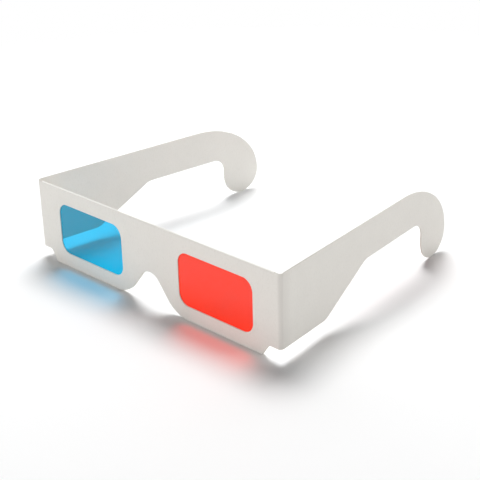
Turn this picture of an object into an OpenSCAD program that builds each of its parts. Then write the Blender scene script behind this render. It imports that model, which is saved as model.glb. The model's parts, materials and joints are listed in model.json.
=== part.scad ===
// Paper anaglyph glasses: a folded card front with two tinted films, and two creased temples with ear hooks.
// Left and right are the wearer's. The glasses look along -Y, so the left temple is at +X, and +Z is up.
// They stand on the front's lower edge and on the two hook tips, at z = 0.

/* [Front panel] */
// Width over the outer faces of both creases
panel_w = 140; // [130:1:160]
// Height from the lower edge to the folded top edge
panel_h = 35.5; // [34:0.5:42]
// Distance from a crease's outer face in to the end of the folded-over rear ply
rear_inset = 3; // [2.6:0.2:8]

/* [Windows] */
// Width of the card between the two windows
bridge_w = 33.2; // [30:0.2:40]
// Width of the card between a crease's outer face and the window beside it
side_rim = 13.8; // [12:0.2:18]
// Height of the card above the windows
top_rim = 6.8; // [6:0.1:9]
// Height of the card below the windows
lower_rim = 6.2; // [6:0.1:9]
// Corner radius of a window
window_r = 5; // [2:0.5:8]
// How much further the rear ply's window opens on every side
rear_window_margin = 0.6; // [0.2:0.1:1]

/* [Nose arch] */
// Width of the arch where its straight flanks, carried on, meet the lower edge
nose_w = 28.2; // [24:0.2:32]
// Height of the arch's top above the lower edge
nose_h = 14.1; // [11:0.1:17]
// Radius of the arch's top
nose_top_r = 6.1; // [4:0.1:8]
// Radius that flares the arch's feet into the lower edge
nose_foot_r = 14; // [4:0.5:16]

/* [Corner notches] */
// Width of the notch below each crease, along its top
notch_top_w = 6; // [5:0.2:7]
// Width of the notch at the lower edge, where its slanted side ends
notch_w = 9.4; // [8:0.2:11]
// Height of the notch, and of the temple's lower edge beside it
notch_h = 5; // [4:0.2:7]
// Radius in the notch's inner corner
notch_r = 2.6; // [1:0.2:4]

/* [Card and films] */
// Thickness of the card
card_t = 0.4; // [0.3:0.05:0.6]
// Thickness of the films, and of the adhesive layer around them
film_t = 0.1; // [0.1:0.05:0.2]
// How far a film reaches past its window on every side
film_overlap = 3; // [2:0.2:3]
// Corner radius of a film patch
film_r = 1.5; // [0.5:0.5:3]
// Clear gap between a film's edge and the adhesive around it
film_gap = 0.2; // [0.1:0.1:0.5]

/* [Temples] */
// Length of a temple from its crease to the back of its hook
temple_len = 119.2; // [105:0.2:135]
// Height of the slim part of the arm
arm_h = 15.8; // [13:0.2:18]
// Distance from the crease to where the arm starts to taper
taper_start = 27.2; // [20:0.2:34]
// Distance from the crease to where the taper ends
taper_end = 55.2; // [48:0.2:62]
// Radius that softens both ends of the taper
taper_r = 8; // [3:1:12]
// Length of the rounded crown over the ear hook
crown_len = 35; // [26:1:38]
// Width of the ear hook, which ends in a half circle
hook_w = 20.4; // [16:0.2:22]
// Radius between the arm's underside and the hook
ear_r = 6; // [2:0.5:8]
// Angle by which each temple leans in from square to the front
toe_in = 6.8; // [0:0.2:10]

/* [Creases] */
// Inner radius of the bent strip, whose centre is the fold's axis
crease_r = 1.1; // [0.4:0.1:1.6]
// Straight length of the bent strip at each of its ends
crease_tab = 0.3; // [0.2:0.05:0.5]
// Clear gap between the bent strip and the temple that swings on it
crease_gap = 0.02; // [0.01:0.01:0.05]

/* [Hidden] */
$fn = 64;

// Largest turn between two neighbouring points of an arc, in degrees
arc_step = 4;
// Room around the outline for cutting away and keeping whole sides
beyond = 10;

front_t = 2 * card_t + film_t;
fold_r = front_t / 2;
crease_outer_r = crease_r + card_t;
hinge_x = panel_w / 2 - crease_outer_r;
hinge_y = crease_outer_r;
rear_half_w = panel_w / 2 - rear_inset;
window_w = (panel_w - bridge_w) / 2 - side_rim;
window_h = panel_h - top_rim - lower_rim;
window_x = (bridge_w + window_w) / 2;
window_z = lower_rim + window_h / 2;
depth = hinge_y + temple_len * cos(toe_in) + crease_outer_r * sin(toe_in);
hook_r = hook_w / 2;
arm_underside = panel_h - arm_h;

// The flanks of the nose arch, carried on past its rounded top, meet at this height
nose_round_z = nose_h - nose_top_r;
nose_squeeze = 1 - pow(2 * nose_top_r / nose_w, 2);
nose_reach = pow(nose_round_z, 2) - nose_squeeze * (pow(nose_round_z, 2) - pow(nose_top_r, 2));
nose_peak = (nose_round_z + sqrt(nose_reach)) / nose_squeeze;

card_colour = [0.87, 0.86, 0.84];
crease_colour = [0.82, 0.81, 0.79];
adhesive_colour = [0.9, 0.88, 0.8];
red_colour = [0.98, 0.31, 0.26, 0.8];
cyan_colour = [0.25, 0.71, 0.9, 0.8];

function unit(v) = v / norm(v);
function angle_of(v) = atan2(v.y, v.x);
function signed_turn(a) = (a + 540) % 360 - 180;

// Points from angle a0 through a turn, around a centre
function arc(centre, r, a0, turn) =
    let (steps = max(1, ceil(abs(turn) / arc_step)))
    [for (i = [0:steps]) centre + r * [cos(a0 + turn * i / steps), sin(a0 + turn * i / steps)]];

// Points of the arc that rounds the corner between its neighbours before and after, where corner = [x, y, radius]
function rounded_corner(before, corner, after) =
    let (
        tip = [corner.x, corner.y],
        to_before = unit([before.x, before.y] - tip),
        to_after = unit([after.x, after.y] - tip),
        half = acos(to_before * to_after) / 2,
        centre = tip + unit(to_before + to_after) * corner.z / sin(half),
        reach = corner.z / tan(half),
        a0 = angle_of(tip + to_before * reach - centre),
        a1 = angle_of(tip + to_after * reach - centre)
    )
    arc(centre, corner.z, a0, signed_turn(a1 - a0));

// A closed outline from its corners, each [x, y, radius], where a radius of 0 leaves the corner sharp
function rounded_outline(corners) =
    let (n = len(corners))
    [
        for (i = [0:n - 1])
            each corners[i].z == 0
                ? [[corners[i].x, corners[i].y]]
                : rounded_corner(corners[(i + n - 1) % n], corners[i], corners[(i + 1) % n])
    ];

function rounded_rectangle(w, h, r) =
    rounded_outline([[-w / 2, -h / 2, r], [w / 2, -h / 2, r], [w / 2, h / 2, r], [-w / 2, h / 2, r]]);

// The temple's edge, as [distance from the crease, height], around its ear hook and along its underside
function temple_edge() =
    let (
        crown_x = temple_len - crown_len,
        crown_z = panel_h - hook_r,
        ear_x = temple_len - hook_w,
        crown = [
            for (a = [0:arc_step:90])
                [crown_x + crown_len * sin(a), hook_r + crown_z * cos(a)]
        ],
        tip = arc([temple_len - hook_r, hook_r], hook_r, 0, -180),
        ear = rounded_corner([ear_x, hook_r], [ear_x, arm_underside, ear_r], [taper_end, arm_underside]),
        taper_top = rounded_corner(
            [ear_x, arm_underside], [taper_end, arm_underside, taper_r], [taper_start, notch_h]),
        taper_foot = rounded_corner(
            [taper_end, arm_underside], [taper_start, notch_h, taper_r], [crease_tab, notch_h])
    )
    concat(
        [[crease_tab, notch_h], [crease_tab, panel_h]],
        crown, tip, ear, taper_top, taper_foot
    );

// Moves the model so that the middle of its footprint is at the origin
module centred() {
    translate([0, -depth / 2, 0]) children();
}

// Stands a flat shape up as a plate whose front face is at y
module standing(y, thickness) {
    translate([0, y + thickness, 0]) rotate([90, 0, 0]) linear_extrude(thickness) children();
}

// Sets a piece drawn about the left fold's axis in place, with its mirror image at the other end
module at_crease(right = false) {
    centred()
        mirror([right ? 1 : 0, 0, 0])
            translate([hinge_x, hinge_y, 0])
                children();
}

module window(grow = 0) {
    polygon(rounded_rectangle(window_w + 2 * grow, window_h + 2 * grow, window_r + grow));
}

module both_windows(grow = 0) {
    for (side = [-1, 1])
        translate([side * window_x, window_z]) window(grow);
}

// Outline of a ply between two end lines, with its nose arch and corner notches, up to a top line
module ply_outline(half_w, top) {
    notch_top_x = panel_w / 2 - notch_top_w;
    notch_foot_x = panel_w / 2 - notch_w;
    lower = [
        [half_w, notch_h, 0],
        [notch_top_x, notch_h, notch_r],
        [notch_foot_x, 0, 0],
        [nose_w / 2, 0, nose_foot_r],
        [0, nose_peak, nose_top_r],
        [-nose_w / 2, 0, nose_foot_r],
        [-notch_foot_x, 0, 0],
        [-notch_top_x, notch_h, notch_r],
        [-half_w, notch_h, 0]
    ];
    polygon(rounded_outline(concat(lower, [[-half_w, top, 0], [half_w, top, 0]])));
}

// The part of the ply's outline that the folded-over rear ply covers
module bonded_outline() {
    intersection() {
        ply_outline(hinge_x - crease_tab, panel_h - fold_r);
        translate([-rear_half_w, -beyond]) square([2 * rear_half_w, panel_h + 2 * beyond]);
    }
}

module film_patch(grow = 0) {
    polygon(rounded_rectangle(
        window_w + 2 * (film_overlap + grow),
        window_h + 2 * (film_overlap + grow),
        film_r + grow
    ));
}

// One film, at the left eye for side 1 and at the right eye for side -1
module film(side) {
    centred()
        standing(card_t, film_t)
            translate([side * window_x, window_z])
                film_patch();
}

module front_ply() {
    color(card_colour)
        centred()
            standing(0, card_t)
                difference() {
                    ply_outline(hinge_x - crease_tab, panel_h);
                    both_windows();
                    translate([-rear_half_w, panel_h - fold_r]) square([2 * rear_half_w, beyond]);
                }
}

module rear_ply() {
    color(card_colour)
        centred()
            standing(card_t + film_t, card_t)
                difference() {
                    bonded_outline();
                    both_windows(rear_window_margin);
                }
}

module top_fold() {
    color(card_colour)
        centred()
            translate([-rear_half_w, fold_r, panel_h - fold_r])
                rotate([90, 0, 90])
                    linear_extrude(2 * rear_half_w)
                        difference() {
                            circle(fold_r);
                            circle(film_t / 2);
                            translate([-beyond, -2 * beyond]) square(2 * beyond);
                        }
}

module ply_adhesive() {
    color(adhesive_colour)
        centred()
            standing(card_t, film_t)
                difference() {
                    bonded_outline();
                    for (side = [-1, 1])
                        translate([side * window_x, window_z]) film_patch(film_gap);
                }
}

module red_film() {
    color(red_colour) film(1);
}

module cyan_film() {
    color(cyan_colour) film(-1);
}

module temple(right = false) {
    at_crease(right)
        rotate([0, 0, 90 + toe_in])
            standing(-crease_outer_r, card_t)
                polygon(temple_edge());
}

// The bent strip: an arc about the fold's axis, with a short straight tab towards the front and the temple
module crease(right = false) {
    strip_h = panel_h - notch_h;
    at_crease(right)
        translate([0, 0, notch_h])
            union() {
                rotate([0, 0, -90])
                    rotate_extrude(angle = 90 + toe_in)
                        translate([crease_r, 0])
                            square([card_t, strip_h]);
                translate([-crease_tab, -crease_outer_r, 0])
                    cube([crease_tab, card_t, strip_h]);
                rotate([0, 0, 90 + toe_in])
                    translate([0, -crease_outer_r, 0])
                        cube([crease_tab - crease_gap, card_t, strip_h]);
            }
}

module left_temple() {
    color(card_colour) temple();
}

module right_temple() {
    color(card_colour) temple(right = true);
}

module left_crease() {
    color(crease_colour) crease();
}

module right_crease() {
    color(crease_colour) crease(right = true);
}

front_ply();
rear_ply();
top_fold();
ply_adhesive();
red_film();
cyan_film();
left_temple();
right_temple();
left_crease();
right_crease();
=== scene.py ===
# %% [markdown]
# # Paper glasses with a red and a cyan window
#
# The real object is a die-cut blank of white card. Its front is two plies, folded over along the top
# edge and glued, with a patch of tinted film trapped behind each window. A temple hangs on a crease at
# each end. The solids of the frame already have every size, so this lesson takes each outline from
# them and gives it what a solid lacks: softened cut edges, a bent strip at every fold, card that looks
# like card, and film that light shines through.

# %% Load the frame
import json
import math

import bmesh
import bpy
from mathutils import Matrix, Vector
from mathutils.geometry import tessellate_polygon


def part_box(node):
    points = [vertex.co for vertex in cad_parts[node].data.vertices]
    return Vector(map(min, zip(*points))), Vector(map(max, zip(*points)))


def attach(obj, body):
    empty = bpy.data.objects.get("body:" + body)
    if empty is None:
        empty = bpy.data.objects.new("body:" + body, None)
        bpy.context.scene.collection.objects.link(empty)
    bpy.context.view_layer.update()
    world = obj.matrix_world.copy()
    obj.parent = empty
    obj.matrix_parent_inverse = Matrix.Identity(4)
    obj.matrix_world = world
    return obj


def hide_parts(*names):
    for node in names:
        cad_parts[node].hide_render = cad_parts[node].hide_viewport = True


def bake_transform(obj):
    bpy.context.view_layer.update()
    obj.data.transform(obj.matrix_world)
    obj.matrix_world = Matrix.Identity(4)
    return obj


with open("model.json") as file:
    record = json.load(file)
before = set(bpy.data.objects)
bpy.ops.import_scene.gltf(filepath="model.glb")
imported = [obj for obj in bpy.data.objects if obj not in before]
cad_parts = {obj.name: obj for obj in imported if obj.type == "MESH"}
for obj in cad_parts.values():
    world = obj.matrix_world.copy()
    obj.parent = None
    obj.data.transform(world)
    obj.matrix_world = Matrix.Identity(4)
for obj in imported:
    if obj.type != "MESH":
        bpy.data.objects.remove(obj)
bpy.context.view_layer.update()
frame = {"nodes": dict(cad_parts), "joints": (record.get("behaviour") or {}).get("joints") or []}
MM = 0.001
print("frame nodes:", ", ".join(sorted(frame["nodes"])))

# %% [markdown]
# ## Camera
#
# The glasses are seen from the wearer's left and from above, with the camera tipped a little to one
# side. It could be placed by eye. Straight edges of known length give its place more surely, so these
# numbers were worked out from such edges. The camera comes first, because everything after it is
# judged through it. A long lens keeps the far hook nearly as large as the near one.

# %% Camera
LOOK_AT = Vector((-0.0090, 0.0, 0.0049))
CAMERA_AZIMUTH = math.radians(44.84)
CAMERA_ELEVATION = math.radians(24.34)
CAMERA_ROLL = math.radians(-1.53)
CAMERA_DISTANCE = 0.5184
CAMERA_NEAREST = 0.01
LENS_MM = 89.2


def direction_to(azimuth, elevation):
    """The way from the object to something seen at that azimuth and elevation. Azimuth 0 looks along +Y."""
    return Vector((
        math.sin(azimuth) * math.cos(elevation),
        -math.cos(azimuth) * math.cos(elevation),
        math.sin(elevation),
    ))


back = direction_to(CAMERA_AZIMUTH, CAMERA_ELEVATION)
level_right = Vector((math.cos(CAMERA_AZIMUTH), math.sin(CAMERA_AZIMUTH), 0))
level_up = back.cross(level_right)
right = level_right * math.cos(CAMERA_ROLL) + level_up * math.sin(CAMERA_ROLL)
up = level_up * math.cos(CAMERA_ROLL) - level_right * math.sin(CAMERA_ROLL)
turned = Matrix((right, up, back)).transposed().to_4x4()

camera = bpy.data.objects.new("camera", bpy.data.cameras.new("camera"))
camera.matrix_world = Matrix.Translation(LOOK_AT + back * CAMERA_DISTANCE) @ turned
camera.data.lens = LENS_MM
camera.data.clip_start = CAMERA_NEAREST
bpy.context.scene.collection.objects.link(camera)
bpy.context.scene.camera = camera
bpy.context.scene.view_settings.view_transform = "Standard"
print("camera at", [round(v, 3) for v in camera.matrix_world.translation])

# %% [markdown]
# ## Node graphs as sums
#
# Materials and Geometry Nodes are both graphs of nodes, and such graphs are slow to read when every
# node and link has a line of its own. Here one small class wraps an output socket, so that Python's own
# signs add the Math nodes, and one method makes every kind of node. The same two classes serve the
# finishes, the floor, the room and the bent strips.


# %% Sockets in sums
class Wire:
    """An output socket that Python's signs work on. Each sign adds a Math node."""

    def __init__(self, graph, socket):
        self.graph = graph
        self.socket = socket

    def __add__(self, other):
        return self.graph.math("ADD", self, other)

    __radd__ = __add__

    def __sub__(self, other):
        return self.graph.math("SUBTRACT", self, other)

    def __rsub__(self, other):
        return self.graph.math("SUBTRACT", other, self)

    def __mul__(self, other):
        return self.graph.math("MULTIPLY", self, other)

    __rmul__ = __mul__

    def __truediv__(self, other):
        return self.graph.math("DIVIDE", self, other)

    def __rtruediv__(self, other):
        return self.graph.math("DIVIDE", other, self)

    def __abs__(self):
        return self.graph.math("ABSOLUTE", self)

    def __gt__(self, other):
        return self.graph.math("GREATER_THAN", self, other)

    def between(self, low, high):
        """This value, held between two others."""
        raised = self.graph.math("MAXIMUM", self, low)
        return self.graph.math("MINIMUM", raised, high)


def input_socket(node, key):
    """A node's input by number, or by name among those in use. A Mix node has an A for each kind of data."""
    if isinstance(key, int):
        return node.inputs[key]
    return next(socket for socket in node.inputs if socket.enabled and socket.name == key)


class Graph:
    """A node tree that is built up node by node."""

    def __init__(self, tree):
        self.tree = tree
        tree.nodes.clear()

    def add(self, kind, settings=None, inputs=None):
        """A new node with those settings and then those inputs. Returns its outputs by name."""
        node = self.tree.nodes.new(kind)
        for name, value in (settings or {}).items():
            setattr(node, name, value)
        for key, value in (inputs or {}).items():
            socket = input_socket(node, key)
            if isinstance(value, Wire):
                self.tree.links.new(value.socket, socket)
            else:
                socket.default_value = value
        return {output.name: Wire(self, output) for output in node.outputs if output.enabled}

    def math(self, operation, *values):
        """A Math node on those values."""
        return self.add("ShaderNodeMath", {"operation": operation}, dict(enumerate(values)))["Value"]


print("graphs can be written as sums")

# %% [markdown]
# ## Blotches, tints and relief
#
# Card, film and glue are uneven in the same ways: soft blotches, a colour that shifts between two
# others, and a shallow relief. A node group could hold these. A class on top of the graph does the same
# and leaves plain nodes in each material. The blotches lie in Object coordinates, so that they stay on
# their piece when a temple folds.


# %% Blotches, tints and relief
class Finish(Graph):
    """A material, with the kinds of node that several finishes here use."""

    def __init__(self, name):
        self.material = bpy.data.materials.new(name)
        self.material.use_nodes = True
        super().__init__(self.material.node_tree)

    def clouds(self, size, detail=2.0, stretch=(1, 1, 1)):
        """Soft blotches from 0 to 1 of about that size in metres, drawn out along X, Y or Z."""
        place = self.add("ShaderNodeTexCoord")["Object"]
        scale = [1 / (size * s) for s in stretch]
        place = self.add("ShaderNodeMapping", None, {"Vector": place, "Scale": scale})["Vector"]
        inputs = {"Vector": place, "Scale": 1.0, "Detail": detail}
        return self.add("ShaderNodeTexNoise", None, inputs)["Fac"]

    def tint(self, factor, low, high):
        """The colour between two others."""
        inputs = {"Factor": factor, "A": low, "B": high}
        return self.add("ShaderNodeMix", {"data_type": "RGBA"}, inputs)["Result"]

    def bump(self, height, depth):
        """A surface relief of that depth in metres."""
        inputs = {"Height": height, "Distance": depth, "Strength": 1.0}
        return self.add("ShaderNodeBump", None, inputs)["Normal"]

    def surface(self, shader):
        """The finished material with that shader."""
        self.add("ShaderNodeOutputMaterial", None, {"Surface": shader})
        return self.material


def screen(red, green, blue):
    """The linear colour, with alpha, of a screen colour in steps of 0 to 255."""
    return tuple(((c / 255 + 0.055) / 1.055) ** 2.4 for c in (red, green, blue)) + (1.0,)


print("finishes can be mixed")

# %% [markdown]
# ## Floor and room
#
# The glasses stand on plain white, with nothing on it that draws the eye. One large matt square does for
# the floor. The room around it is white too. A room could light the glasses by itself, but light from
# all sides washes out the shadows. So this one is white only where it is seen, straight on, in gloss or
# through film, and gives next to no light. The main light is so near that the floor would turn grey
# further off. So away from the glasses the floor fades from sight, and the white room shows instead.

# %% Floor and room
FLOOR_SIZE = 6.0
FLOOR_TONE = 0.93
FADE_START = 0.23
FADE_END = 0.4
ROOM_LIGHT = 0.02
WHITE = (1.0, 1.0, 1.0, 1.0)


def seen_directly(graph):
    """1 for what is seen straight on, in gloss or through film, and 0 for light that bounces."""
    ray = graph.add("ShaderNodeLightPath")
    return (ray["Is Camera Ray"] + ray["Is Glossy Ray"] + ray["Is Transmission Ray"]).between(0, 1)


def floor_finish():
    """Matt white that fades from sight away from the origin."""
    finish = Finish("floor")
    tone = (FLOOR_TONE, FLOOR_TONE, FLOOR_TONE, 1.0)
    matt = finish.add("ShaderNodeBsdfDiffuse", None, {"Color": tone})["BSDF"]
    clear = finish.add("ShaderNodeBsdfTransparent")["BSDF"]
    place = finish.add("ShaderNodeTexCoord")["Object"]
    away = finish.add("ShaderNodeVectorMath", {"operation": "LENGTH"}, {0: place})["Value"]
    fade = ((away - FADE_START) / (FADE_END - FADE_START)).between(0, 1) * seen_directly(finish)
    return finish.surface(finish.add("ShaderNodeMixShader", None, {0: fade, 1: matt, 2: clear})["Shader"])


def make_floor():
    """A square around the origin."""
    half = FLOOR_SIZE / 2
    corners = [(-half, -half, 0), (half, -half, 0), (half, half, 0), (-half, half, 0)]
    mesh = bpy.data.meshes.new("floor")
    mesh.from_pydata(corners, [], [(0, 1, 2, 3)])
    mesh.materials.append(floor_finish())
    floor = bpy.data.objects.new("floor", mesh)
    bpy.context.scene.collection.objects.link(floor)


def make_room():
    """A world that is white where it is seen and faint where it lights."""
    world = bpy.data.worlds.new("room")
    world.use_nodes = True
    bpy.context.scene.world = world
    room = Graph(world.node_tree)
    faint = room.add("ShaderNodeBackground", None, {"Color": WHITE, "Strength": ROOM_LIGHT})["Background"]
    bright = room.add("ShaderNodeBackground", None, {"Color": WHITE, "Strength": 1.0})["Background"]
    sky = room.add("ShaderNodeMixShader", None, {0: seen_directly(room), 1: faint, 2: bright})["Shader"]
    room.add("ShaderNodeOutputWorld", None, {"Surface": sky})


make_floor()
make_room()
print("floor of", FLOOR_SIZE, "m in a white room")

# %% [markdown]
# ## Main light
#
# The main light is soft and stands high behind the glasses, to the wearer's right, a little over a metre
# away. It throws the panel's shadow forwards, with a red and a cyan glow in it, and each temple's shadow
# towards the wearer's left. A sun would be simpler, but it lights near and far alike. A ball of light is
# weaker at the near temple than at the far one, and their shadows spread apart. A small weak spot
# straight above the far temple's shadow makes that one paler. It only grazes the upright card, which
# keeps its tone.

# %% Near lamps
KEY_AIM = Vector((0, -59 * MM, 17 * MM))
KEY_AZIMUTH = -140
KEY_ELEVATION = 60
KEY_DISTANCE = 1.2
KEY_SPREAD = 28
KEY_LEVEL = 0.84
SPOT_CENTRE = (-45 * MM, 32 * MM)
SPOT_HEIGHT = 0.6
SPOT_WIDTH = 110 * MM
SPOT_BLEND = 0.6
SPOT_RADIUS = 30 * MM
SPOT_LEVEL = 0.13


def make_near_lamp(name, kind, place, distance, radius, level):
    """A round lamp. At level 1 it shows a colour that faces it at that distance as written."""
    lamp = bpy.data.lights.new(name, kind)
    lamp.energy = level * 4 * math.pi ** 2 * distance ** 2
    lamp.shadow_soft_size = radius
    stand = bpy.data.objects.new(name, lamp)
    stand.location = place
    bpy.context.scene.collection.objects.link(stand)
    return lamp


key_place = KEY_AIM + KEY_DISTANCE * direction_to(math.radians(KEY_AZIMUTH), math.radians(KEY_ELEVATION))
key_radius = KEY_DISTANCE * math.tan(math.radians(KEY_SPREAD / 2))
make_near_lamp("key", "POINT", key_place, KEY_DISTANCE, key_radius, KEY_LEVEL)

spot_place = (*SPOT_CENTRE, SPOT_HEIGHT)
spot = make_near_lamp("spot", "SPOT", spot_place, SPOT_HEIGHT, SPOT_RADIUS, SPOT_LEVEL)
spot.spot_size = 2 * math.atan(SPOT_WIDTH / 2 / SPOT_HEIGHT)
spot.spot_blend = SPOT_BLEND
print("main light at", [round(v, 2) for v in key_place], "and a spot", SPOT_HEIGHT, "m above the floor")

# %% [markdown]
# ## Softer light
#
# A wider, lower light from the side of the main one softens the shadows. Two fills, one in front and one
# at the wearer's left, brighten the card that looks this way. They lie so low that they hardly reach into
# the shadows on the floor. Area lights would do as well, but a sun has no distance to set: its spread is
# how soft it is, and its level is how bright it shows what faces it.

# %% Far lamps
FAR_LAMPS = {
    "wide_key": {"azimuth": -136, "elevation": 38, "spread": 60, "level": 0.40},
    "front_fill": {"azimuth": -10, "elevation": 5, "spread": 36, "level": 0.675},
    "side_fill": {"azimuth": 110, "elevation": 15, "spread": 46, "level": 0.46},
}


def make_far_lamp(name, azimuth, elevation, spread, level):
    """A soft light from far away. At level 1 it shows a colour that faces it as written."""
    lamp = bpy.data.lights.new(name, "SUN")
    lamp.energy = level * math.pi
    lamp.angle = math.radians(spread)
    way = direction_to(math.radians(azimuth), math.radians(elevation))
    stand = bpy.data.objects.new(name, lamp)
    stand.matrix_world = Matrix.Translation(way) @ way.to_track_quat("Z", "Y").to_matrix().to_4x4()
    bpy.context.scene.collection.objects.link(stand)


for name, settings in FAR_LAMPS.items():
    make_far_lamp(name, **settings)
print("far lamps:", ", ".join(FAR_LAMPS))

# %% [markdown]
# ## Card
#
# The card is uncoated white board. Up close it isn't even: its fibres lie in soft clouds a few
# millimetres across, some show as small darker flecks, and its surface has a fine tooth. A picture of
# card would have to be laid over every piece, so noise of three sizes paints it instead. The clouds
# shift the tone by a few percent. The fibres darken and roughen it, and together with the tooth they
# drive a bump of about a hundredth of a millimetre. A cut edge shows the bare core, which is greyer and
# has twice the relief.

# %% Card
CLOUD_SIZE = 7 * MM
FIBRE_SIZE = 0.45 * MM
TOOTH_SIZE = 0.12 * MM
FIBRE_DETAIL = 3.0
FIBRE_STRETCH = (1.0, 1.0, 2.5)
FLECK_START = 0.52
FLECK_STRENGTH = 2.2
TOOTH_DEPTH = 0.012 * MM
CARD_ROUGHNESS = 0.72
FIBRE_ROUGHNESS = 0.2
CARD_SHINE = 0.3
CARD_SHADE = screen(226, 223, 217)
CARD_LIGHT = screen(231, 228, 222)
FLECK_SHADE = screen(219, 216, 209)
CORE_SHADE = screen(200, 196, 188)
CORE_LIGHT = screen(214, 210, 203)


def card_shader(finish, shade, light, depth, painted_light_share=None, painted_light_tone=None):
    """Fibrous card between two tones. The painted light share says how much it takes of a third tone, a
    painted shade or a painted highlight.
    """
    fibres = finish.clouds(FIBRE_SIZE, FIBRE_DETAIL, FIBRE_STRETCH)
    colour = finish.tint(finish.clouds(CLOUD_SIZE, FIBRE_DETAIL), shade, light)
    colour = finish.tint((fibres - FLECK_START).between(0, 1) * FLECK_STRENGTH, colour, FLECK_SHADE)
    # A mask of painted light or shade tints the card towards its tone.
    if painted_light_share is not None:
        colour = finish.tint(painted_light_share, colour, painted_light_tone)
    relief = (finish.clouds(TOOTH_SIZE) + fibres) / 2
    inputs = {
        "Base Color": colour,
        "Roughness": CARD_ROUGHNESS + FIBRE_ROUGHNESS * fibres,
        "Specular IOR Level": CARD_SHINE,
        "Normal": finish.bump(relief, depth),
    }
    return finish.add("ShaderNodeBsdfPrincipled", None, inputs)["BSDF"]


def make_card():
    """The broad faces of the card."""
    finish = Finish("white_card")
    return finish.surface(card_shader(finish, CARD_SHADE, CARD_LIGHT, TOOTH_DEPTH))


def make_cut_edge():
    """The bare core of the card, where a rule has cut it."""
    finish = Finish("cut_edge")
    return finish.surface(card_shader(finish, CORE_SHADE, CORE_LIGHT, 2 * TOOTH_DEPTH))


card = make_card()
cut_edge = make_cut_edge()
print("finishes:", card.name, cut_edge.name)

# %% [markdown]
# ## Reading outlines from the solids
#
# Each flat piece was cut from a sheet, so its whole shape is one outline and a thickness. The outline
# could be drawn again here, but the solid already has it. On its broad face, an edge that only one
# triangle uses lies on the border, and a walk along such edges gives one loop for the outside and one
# for every window.

# %% Outlines
SNAP = 1e-7
FACE_ON = 0.999


def outline_loops(node, facing):
    """The loops around a node's flat face that looks that way, each with the card on its left."""
    mesh = frame["nodes"][node].data
    mesh.calc_loop_triangles()
    places = {}
    edges = []
    for triangle in mesh.loop_triangles:
        if triangle.normal.dot(facing) < FACE_ON:
            continue
        corners = [mesh.vertices[i].co.copy() for i in triangle.vertices]
        keys = [tuple(round(c / SNAP) for c in corner) for corner in corners]
        places.update(zip(keys, corners))
        edges += zip(keys, keys[1:] + keys[:1])
    known = set(edges)
    border = {a: b for a, b in edges if (b, a) not in known}
    loops = []
    while border:
        first, here = border.popitem()
        loop = [first]
        while here != first:
            loop.append(here)
            here = border.pop(here)
        loops.append([places[key] for key in loop])
    return loops


def broad_facing(node, hint):
    """The way that a node's largest flat face looks, on the side of the hint."""
    mesh = frame["nodes"][node].data
    mesh.calc_loop_triangles()
    facing_hint = [t for t in mesh.loop_triangles if t.normal.dot(hint) > 0]
    return max(facing_hint, key=lambda t: t.area).normal.copy()


forwards = Vector((0, -1, 0))
left_facing = broad_facing("left_temple", Vector((1, 0, 0)))
right_facing = broad_facing("right_temple", Vector((-1, 0, 0)))
print("points around the front:", [len(loop) for loop in outline_loops("front_ply", forwards)])
print("points around a temple:", [len(loop) for loop in outline_loops("left_temple", left_facing)])

# %% [markdown]
# ## Softened cut edges
#
# A cutting rule doesn't leave a knife edge: it rolls the card over by a few hundredths of a millimetre,
# and that thin round catches the light. A Bevel modifier struggles with outlines of many short edges, so
# the round is built directly. Each loop is repeated as a stack of rings from one face to the other, and
# the rings step inwards as they near a face.

# %% Softened cut edges
CUT_ROUND = 0.07 * MM
ROUND_STEPS = 3
SHARPEST_TURN = 0.3


def inward_steps(loop, facing):
    """For each point of a loop, the step that moves both of its edges inwards by one."""
    steps = []
    for before, here, after in zip(loop[-1:] + loop[:-1], loop, loop[1:] + loop[:1]):
        left_in = facing.cross((here - before).normalized())
        left_out = facing.cross((after - here).normalized())
        steps.append((left_in + left_out) / max(1 + left_in.dot(left_out), SHARPEST_TURN))
    return steps


def quarter_round():
    """Pairs of inset and depth, in radii, from the face to the wall."""
    angles = [math.pi / 2 * (1 - i / ROUND_STEPS) for i in range(ROUND_STEPS + 1)]
    return [(1 - math.cos(a), 1 - math.sin(a)) for a in angles]


def stacked_rings(mesh, loop, facing, thickness, radii):
    """Rings of new points around a loop, from the face that looks that way to the opposite one."""
    profile = quarter_round()
    rows = [(inset, depth, 0) for inset, depth in profile]
    rows += [(inset, -depth, thickness) for inset, depth in reversed(profile)]
    steps = inward_steps(loop, facing)
    rings = []
    for inset, depth, base in rows:
        ring = []
        for point, step, radius in zip(loop, steps, radii):
            ring.append(mesh.verts.new(point + step * inset * radius - facing * (depth * radius + base)))
        rings.append(ring)
    return rings


print("rings in a stack:", 2 * len(quarter_round()))

# %% [markdown]
# ## Flat pieces
#
# A flat piece is walls between its rings and a face on both sides. A single polygon can't have windows in
# it, so triangles fill the space between the outer loop and the loops of the windows. The walls have a
# finish of their own, because a cut shows the core of the card. Where two pieces of one sheet meet at a
# fold there is no cut, so the round shrinks to nothing there.

# %% Flat pieces
WALL_SLOT = 1


def add_walls(mesh, rings):
    """Smooth walls from each ring to the next."""
    for upper, lower in zip(rings, rings[1:]):
        for i in range(len(upper)):
            j = (i + 1) % len(upper)
            wall = mesh.faces.new((upper[i], lower[i], lower[j], upper[j]))
            wall.smooth = True
            wall.material_index = WALL_SLOT


def fill_face(mesh, rings, facing):
    """Triangles between an outer ring and those of its windows."""
    points = [point for ring in rings for point in ring]
    for corners in tessellate_polygon([[point.co for point in ring] for ring in rings]):
        a, b, c = [points[i] for i in corners]
        if (b.co - a.co).cross(c.co - a.co).dot(facing) < 0:
            b, c = c, b
        mesh.faces.new((a, b, c))


def nowhere(point):
    """Says of every point that an edge is cut there."""
    return False


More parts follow.
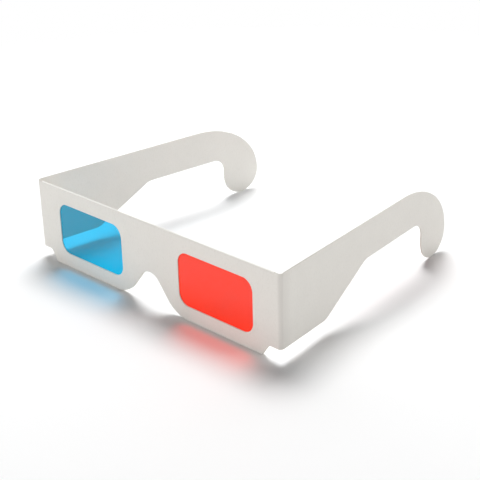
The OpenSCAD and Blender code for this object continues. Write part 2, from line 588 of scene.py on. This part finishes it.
def flat_piece(name, loops, facing, thickness, finishes, uncut=nowhere, cut_round=CUT_ROUND):
    """A sheet with that outline and a finish for faces and walls. Uncut tells which points lie on a fold."""
    mesh = bmesh.new()
    stacks = []
    for loop in loops:
        radii = [0 if uncut(point) else cut_round for point in loop]
        rings = stacked_rings(mesh, loop, facing, thickness, radii)
        add_walls(mesh, rings)
        stacks.append(rings)
    fill_face(mesh, [rings[0] for rings in stacks], facing)
    fill_face(mesh, [rings[-1] for rings in stacks], -facing)
    bmesh.ops.remove_doubles(mesh, verts=mesh.verts, dist=SNAP)
    data = bpy.data.meshes.new(name)
    mesh.to_mesh(data)
    mesh.free()
    for finish in finishes:
        data.materials.append(finish)
    piece = bpy.data.objects.new(name, data)
    bpy.context.scene.collection.objects.link(piece)
    return piece


def stand_for(piece, node, body="front"):
    """The piece rides on a body and hides the solid that it stands for."""
    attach(piece, body)
    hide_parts(node)
    print(piece.name, "stands for", node, "with", len(piece.data.polygons), "faces")


print("flat pieces can be cut")

# %% [markdown]
# ## The two plies of the front
#
# The front ply carries the windows, the nose arch and the notches at its lower corners. The rear ply is
# the same sheet, folded back over the top edge, and ends a little before each crease. One thick plate
# would look much the same from afar, but two plies show the seam along the lower edge and leave room for
# the film. Along the top fold and at the creases the sheet goes on, so it has no cut edge there.

# %% Front and rear ply
CLOSE = 1e-6
front_low, front_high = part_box("front_ply")
fold_low, fold_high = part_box("top_fold")
CARD_THICKNESS = front_high.y - front_low.y
FOLD_LEVEL = fold_low.z


def at_top_fold(point):
    """Whether a point of either ply lies on the top fold."""
    return abs(point.z - FOLD_LEVEL) < CLOSE


def at_front_fold(point):
    """Whether a point of the front ply lies on the top fold or at a crease."""
    at_crease = abs(abs(point.x) - front_high.x) < CLOSE
    return at_crease or at_top_fold(point)


for name, node, uncut in (("front_card", "front_ply", at_front_fold), ("rear_card", "rear_ply", at_top_fold)):
    loops = outline_loops(node, forwards)
    ply = flat_piece(name, loops, forwards, CARD_THICKNESS, (card, cut_edge), uncut)
    stand_for(ply, node)

# %% [markdown]
# ## Card beside a crease
#
# Beside a crease, the temple's card gets painted shade, a little darker, which fades out over a few
# millimetres. That could be painted by hand on a UV map. The distance from the crease's axis gives it
# without one, and since Object coordinates are those at rest, the band stays in place when the temple
# folds.

# %% Card beside a crease
# Painted shade beside a crease: how far it reaches, how strong it is, and its colour.
PAINTED_SHADE_REACH = 5 * MM
PAINTED_SHADE_SHARE = 0.6
PAINTED_CREASE_SHADE = screen(216, 212, 206)
joints = {joint["child"]: joint for joint in frame["joints"]}
hinge = {body: Vector(joints[body]["pos_m"]) for body in ("left_temple", "right_temple")}
crease_low, crease_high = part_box("left_crease")
CREASE_OUTER = crease_high.x - hinge["left_temple"].x


def make_crease_shaded_temple_card():
    """Card with painted shade near the crease of either temple."""
    finish = Finish("crease_shaded_temple_card")
    place = finish.add("ShaderNodeTexCoord")["Object"]
    place = finish.add("ShaderNodeSeparateXYZ", None, {"Vector": place})
    aside = abs(place["X"]) - hinge["left_temple"].x
    behind = place["Y"] - hinge["left_temple"].y
    away = finish.math("SQRT", aside * aside + behind * behind)
    nearness = (1 - (away - CREASE_OUTER) / PAINTED_SHADE_REACH).between(0, 1)
    # Painted shade, strongest at the crease and fading away from it.
    painted_shade = PAINTED_SHADE_SHARE * nearness * nearness
    return finish.surface(card_shader(finish, CARD_SHADE, CARD_LIGHT, TOOTH_DEPTH, painted_shade, PAINTED_CREASE_SHADE))


crease_shaded_temple_card = make_crease_shaded_temple_card()
print("creases turn at x =", [round(hinge[body].x / MM, 2) for body in hinge], "mm")

# %% [markdown]
# ## Temples
#
# A temple is an arm that is tall at the front and tapers to a slim bar, with a crown that slopes down at
# the back to a round hook behind the ear. It is the same sheet as the front, so its front end runs into
# the crease without a cut. One could be a mirror image of the other, but each solid has its own outline
# to read, which needs no mirroring.


# %% Temples
def make_temple(name, node, facing):
    """One arm with its hook."""
    axis = hinge[node]

    def at_crease(point):
        return (point.xy - axis.xy).length < 2 * CREASE_OUTER

    loops = outline_loops(node, facing)
    arm = flat_piece(name, loops, facing, CARD_THICKNESS, (crease_shaded_temple_card, cut_edge), at_crease)
    stand_for(arm, node, node)


make_temple("left_arm", "left_temple", left_facing)
make_temple("right_arm", "right_temple", right_facing)

# %% [markdown]
# ## A rule for folds
#
# A fold is a strip of the sheet bent round a line. Each could be modelled as a bent plate of its own, but
# all of them follow one rule, so Geometry Nodes make them. A line of points is laid out flat, with a
# short straight tab at both ends, and each point is moved to where the bend takes it. A rounded
# rectangle, as thick as the card and as long as the fold, is then swept along those points. Each point
# also keeps how far round the bend it lies, for the finishes to use.

# %% Bent strip tree
EDGE_TILT = 0.2
STRIP_INPUTS = {
    "Bend Radius": "NodeSocketFloat",
    "Bend Angle": "NodeSocketFloat",
    "Tab Length": "NodeSocketFloat",
    "Card Thickness": "NodeSocketFloat",
    "Strip Length": "NodeSocketFloat",
    "Cut Round": "NodeSocketFloat",
    "Steps": "NodeSocketInt",
    "Face Finish": "NodeSocketMaterial",
    "Edge Finish": "NodeSocketMaterial",
}


def bent_line(graph, size):
    """Points along the middle of the bent card. It turns round Z, and starts along X on the -Y side."""
    line = graph.add("GeometryNodeCurvePrimitiveLine", {"mode": "POINTS"}, {"End": (1, 0, 0)})["Curve"]
    line = graph.add("GeometryNodeResampleCurve", None, {"Curve": line, "Count": size["Steps"]})["Curve"]
    share = graph.add("GeometryNodeSplineParameter")["Factor"]
    bend_length = size["Bend Radius"] * size["Bend Angle"]
    walked = share * (bend_length + 2 * size["Tab Length"]) - size["Tab Length"]
    bent = walked.between(0, bend_length)
    straight = walked - bent
    angle = bent / size["Bend Radius"]
    sine = graph.math("SINE", angle)
    cosine = graph.math("COSINE", angle)
    along = size["Bend Radius"] * sine + straight * cosine
    aside = straight * sine - size["Bend Radius"] * cosine
    place = graph.add("ShaderNodeCombineXYZ", None, {"X": along, "Y": aside})["Vector"]
    line = graph.add("GeometryNodeSetPosition", None, {"Geometry": line, "Position": place})["Geometry"]
    settings = {"data_type": "FLOAT", "domain": "POINT"}
    inputs = {"Geometry": line, "Name": "bend", "Value": bent / bend_length}
    return graph.add("GeometryNodeStoreNamedAttribute", settings, inputs)["Geometry"]


def swept_card(graph, size, line):
    """The section of the card, with its cut edges rounded, swept along a line."""
    inputs = {"Width": size["Card Thickness"], "Height": size["Strip Length"]}
    section = graph.add("GeometryNodeCurvePrimitiveQuadrilateral", None, inputs)["Curve"]
    inputs = {"Curve": section, "Count": ROUND_STEPS, "Radius": size["Cut Round"]}
    section = graph.add("GeometryNodeFilletCurve", {"mode": "POLY"}, inputs)["Curve"]
    inputs = {"Curve": line, "Profile Curve": section, "Fill Caps": True}
    strip = graph.add("GeometryNodeCurveToMesh", None, inputs)["Mesh"]
    return graph.add("GeometryNodeRealizeInstances", None, {"Geometry": strip})["Geometry"]


def finished_card(graph, size, strip):
    """The strip with one finish all over and another on its two cut edges."""
    inputs = {"Geometry": strip, "Material": size["Face Finish"]}
    strip = graph.add("GeometryNodeSetMaterial", None, inputs)["Geometry"]
    normal = graph.add("GeometryNodeInputNormal")["Normal"]
    tilt = abs(graph.add("ShaderNodeSeparateXYZ", None, {"Vector": normal})["Z"])
    inputs = {"Geometry": strip, "Selection": tilt > EDGE_TILT, "Material": size["Edge Finish"]}
    return graph.add("GeometryNodeSetMaterial", None, inputs)["Geometry"]


def bent_strip_tree():
    """Geometry Nodes that bend a strip of card and sweep it to its length."""
    tree = bpy.data.node_groups.new("bent_strip", "GeometryNodeTree")
    for name, kind in STRIP_INPUTS.items():
        tree.interface.new_socket(name, in_out="INPUT", socket_type=kind)
    tree.interface.new_socket("Strip", in_out="OUTPUT", socket_type="NodeSocketGeometry")
    graph = Graph(tree)
    size = graph.add("NodeGroupInput")
    strip = swept_card(graph, size, bent_line(graph, size))
    graph.add("NodeGroupOutput", None, {"Strip": finished_card(graph, size, strip)})
    return tree


strip_tree = bent_strip_tree()
print("bent strip tree with", len(strip_tree.nodes), "nodes")

# %% [markdown]
# ## From the rule to a piece
#
# A modifier runs the tree with the sizes of one fold. It could stay on the piece, but here the result is
# taken off as a plain mesh: the modifier goes, and the points are moved to their place. A mirrored strip
# is inside out, which is turned back.


# %% Bent strip
def bent_strip(name, sizes, place):
    """A plain mesh made by the tree with those sizes, moved to its place."""
    piece = bpy.data.objects.new(name, bpy.data.meshes.new(name))
    bpy.context.scene.collection.objects.link(piece)
    modifier = piece.modifiers.new("bent_strip", "NODES")
    modifier.node_group = strip_tree
    for item in strip_tree.interface.items_tree:
        if item.in_out == "INPUT":
            modifier[item.identifier] = sizes[item.name]
    evaluated = piece.evaluated_get(bpy.context.evaluated_depsgraph_get())
    data = bpy.data.meshes.new_from_object(evaluated)
    piece.modifiers.remove(modifier)
    piece.data = data
    data.transform(place)
    if place.determinant() < 0:
        data.flip_normals()
    return piece


def bend_share(finish):
    """How far round the bend a point of a strip lies, from 0 to 1."""
    return finish.add("ShaderNodeAttribute", {"attribute_name": "bend"})["Fac"]


print("inputs of a strip:", ", ".join(STRIP_INPUTS))

# %% [markdown]
# ## Creases
#
# A crease was pressed with a rule before it was bent. Its card gets painted shade: none where the front
# ends, most just past the middle of the bend, and as much as the temple where that begins. It is the
# living hinge of its temple.

# %% Creases
# Painted shade on a crease strip is darkest this far round the bend.
DARKEST_PAINTED_BEND = 0.6
CREASE_STEPS = 61
CREASE_RADIUS = CREASE_OUTER - CARD_THICKNESS / 2
CREASE_TAB = hinge["left_temple"].x - front_high.x


def make_shaded_crease_card():
    """Card with painted shade round a bend, which ends as dark as the temple's card beside it."""
    finish = Finish("shaded_crease_card")
    bend = bend_share(finish)
    # Painted shade that rises from nothing at the front to its darkest, then falls to the temple's.
    painted_shade = bend * (2 * DARKEST_PAINTED_BEND - bend) * (PAINTED_SHADE_SHARE / (2 * DARKEST_PAINTED_BEND - 1))
    return finish.surface(card_shader(finish, CARD_SHADE, CARD_LIGHT, TOOTH_DEPTH, painted_shade, PAINTED_CREASE_SHADE))


crease_angle = math.pi / 2 + math.atan2(left_facing.y, left_facing.x)
crease_sizes = {
    "Bend Radius": CREASE_RADIUS,
    "Bend Angle": crease_angle,
    "Tab Length": CREASE_TAB,
    "Card Thickness": CARD_THICKNESS,
    "Strip Length": crease_high.z - crease_low.z,
    "Cut Round": CUT_ROUND,
    "Steps": CREASE_STEPS,
    "Face Finish": make_shaded_crease_card(),
    "Edge Finish": cut_edge,
}
for side, mirror in (("left", 1), ("right", -1)):
    temple = side + "_temple"
    axis = Vector((hinge[temple].x, hinge[temple].y, (crease_low.z + crease_high.z) / 2))
    place = Matrix.Translation(axis) @ Matrix.Diagonal((mirror, 1, 1, 1))
    bend = bent_strip(side + "_bend", crease_sizes, place)
    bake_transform(bend)
    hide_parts(side + "_crease")
    turn = round(math.degrees(crease_angle), 1)
    print(bend.name, "turns by", turn, "degrees in", len(bend.data.polygons), "faces")

# %% [markdown]
# ## Top edge
#
# Along the top the sheet is folded right over, with a painted highlight along the ridge. The rounding
# could be part of either ply, but it belongs to both, so it is a strip of its own.
# The same tree makes it, with half a turn, no tabs and the length of the front. It is laid along X and
# doesn't bend any more.

# %% Top edge
# Painted highlight along the ridge of the top fold.
PAINTED_RIDGE_HIGHLIGHT = screen(240, 238, 233)
FOLD_STEPS = 33
FOLD_RADIUS = (fold_high.y - fold_low.y - CARD_THICKNESS) / 2


def make_highlighted_fold_card():
    """Card with a painted highlight, whitest halfway round a bend."""
    finish = Finish("highlighted_fold_card")
    bend = bend_share(finish)
    # Painted highlight, whitest on the ridge.
    ridge = 4 * bend * (1 - bend)
    return finish.surface(card_shader(finish, CARD_SHADE, CARD_LIGHT, TOOTH_DEPTH, ridge, PAINTED_RIDGE_HIGHLIGHT))


fold_sizes = crease_sizes | {
    "Bend Radius": FOLD_RADIUS,
    "Bend Angle": math.pi,
    "Tab Length": 0.0,
    "Strip Length": fold_high.x - fold_low.x,
    "Steps": FOLD_STEPS,
    "Face Finish": make_highlighted_fold_card(),
}
fold_axis = Vector((0, (fold_low.y + fold_high.y) / 2, FOLD_LEVEL))
lay_along = Matrix(((0, 0, -1, 0), (0, 1, 0, 0), (1, 0, 0, 0), (0, 0, 0, 1)))
top_edge = bent_strip("folded_top_edge", fold_sizes, Matrix.Translation(fold_axis) @ lay_along)
stand_for(top_edge, "top_fold")

# %% [markdown]
# ## Film
#
# The windows are thin dyed film, one red and one cyan. Film is clear: it takes part of the light away, so
# what lies behind shows through in its colour, and the light that passes leaves a glow on the floor. A
# Glass shader would bend that light and throw a dark shadow. A Transparent shader with a tint does
# neither, and a Fresnel mix adds the gloss. Light meets two faces, so each takes the square root of the
# whole tint. The Fresnel node turns its index over on a face seen from inside the film, where slanted
# light would be mirrored back. This film bends no light, so the index is turned over first, and both
# faces reflect alike. A slow ripple and a little dust keep the gloss from being perfect.

# %% Film
RED_LIGHT = (0.92, 0.030, 0.008)
CYAN_LIGHT = (0.001, 0.44, 0.75)
FILM_IOR = 1.45
FILM_ROUGHNESS = 0.04
RIPPLE_SIZE = 14 * MM
RIPPLE_DETAIL = 1.0
RIPPLE_DEPTH = 0.05 * MM
DUST_SIZE = 0.6 * MM
DUST_DETAIL = 4.0
DUST_ROUGHNESS = 0.06
HAZE_START = 0.6
HAZE_STRENGTH = 0.08


def make_film(name, light):
    """Clear film that lets that much red, green and blue light through."""
    finish = Finish(name)
    tint = tuple(math.sqrt(c) for c in light) + (1.0,)
    clear = finish.add("ShaderNodeBsdfTransparent", None, {"Color": tint})["BSDF"]
    dust = finish.clouds(DUST_SIZE, DUST_DETAIL)
    ripple = finish.bump(finish.clouds(RIPPLE_SIZE, RIPPLE_DETAIL), RIPPLE_DEPTH)
    inputs = {"Color": WHITE, "Roughness": FILM_ROUGHNESS + DUST_ROUGHNESS * dust, "Normal": ripple}
    gloss = finish.add("ShaderNodeBsdfAnisotropic", None, inputs)["BSDF"]
    from_inside = finish.add("ShaderNodeNewGeometry")["Backfacing"]
    index = FILM_IOR + from_inside * (1 / FILM_IOR - FILM_IOR)
    fresnel = finish.add("ShaderNodeFresnel", None, {"IOR": index, "Normal": ripple})["Fac"]
    haze = (dust - HAZE_START).between(0, 1) * HAZE_STRENGTH
    inputs = {0: fresnel + haze, 1: clear, 2: gloss}
    return finish.surface(finish.add("ShaderNodeMixShader", None, inputs)["Shader"])


films = {"red": make_film("red_film_clear", RED_LIGHT), "cyan": make_film("cyan_film_clear", CYAN_LIGHT)}
print("films:", ", ".join(film.name for film in films.values()))

# %% [markdown]
# ## Windows
#
# Each film is a patch that is larger than its window and held between the plies, so only its middle
# shows. A flat card with a picture of film would do from one side. A patch with both faces looks right
# from behind too, where the wider window of the rear ply shows more of it. Its edges are softened like
# those of the card, only much less.

# %% Windows
FILM_ROUND = 0.015 * MM
film_low, film_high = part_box("red_film")
FILM_THICKNESS = film_high.y - film_low.y


def thin_layer(name, node, finish):
    """A layer between the plies, as thick as the films."""
    loops = outline_loops(node, forwards)
    return flat_piece(name, loops, forwards, FILM_THICKNESS, (finish, finish), cut_round=FILM_ROUND)


for colour, film in films.items():
    node = colour + "_film"
    stand_for(thin_layer(colour + "_window", node, film), node)

# %% [markdown]
# ## Glue
#
# Dried adhesive fills the rest of the space between the plies, around both films. It could be left out,
# since only a thin line of it shows along the lower edge, but then the plies would stand apart with a slit
# between them. It is a layer like the films, cream in colour, with blotches where it was rolled on.

# %% Glue
BLOTCH_SIZE = 1.5 * MM
BLOTCH_DEPTH = 0.02 * MM
GLUE_SHADE = screen(222, 216, 198)
GLUE_LIGHT = screen(235, 231, 217)
GLUE_ROUGHNESS = 0.4
BLOTCH_ROUGHNESS = 0.2


def make_glue():
    """Dried adhesive in soft blotches."""
    finish = Finish("glue")
    blotches = finish.clouds(BLOTCH_SIZE)
    inputs = {
        "Base Color": finish.tint(blotches, GLUE_SHADE, GLUE_LIGHT),
        "Roughness": GLUE_ROUGHNESS + BLOTCH_ROUGHNESS * blotches,
        "Normal": finish.bump(blotches, BLOTCH_DEPTH),
    }
    return finish.surface(finish.add("ShaderNodeBsdfPrincipled", None, inputs)["BSDF"])


stand_for(thin_layer("glue_layer", "ply_adhesive", make_glue()), "ply_adhesive")
